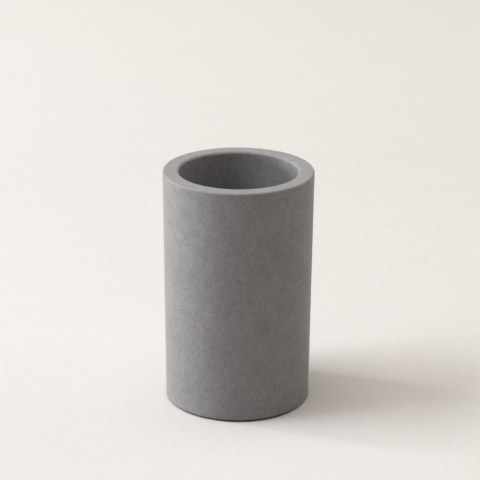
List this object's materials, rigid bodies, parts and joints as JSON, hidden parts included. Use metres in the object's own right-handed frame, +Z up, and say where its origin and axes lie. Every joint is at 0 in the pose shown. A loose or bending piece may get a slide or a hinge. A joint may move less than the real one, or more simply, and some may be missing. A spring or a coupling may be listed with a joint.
{
  "type": "bathroom tumbler",
  "caption": "Nearly straight, thick-walled round tumbler cast in grey concrete, open at the top with softly rounded rim edges, standing on a thin non-slip rubber pad bonded to its underside.",
  "frame": {"origin": "centre of the pad's underside, on the surface that the tumbler stands on", "axes": "+Z up along the cup's axis, out of its mouth; X and Y are any two horizontal directions, because the tumbler is round"},
  "size_m": [0.075, 0.075, 0.12],
  "materials": {
    "concrete": "matte",
    "adhesive": "satin",
    "pad_rubber": "matte"
  },
  "bodies": {
    "root": {"tumbler_body": "concrete", "bonding_film": "adhesive", "base_pad": "pad_rubber"}
  },
  "joints": []
}
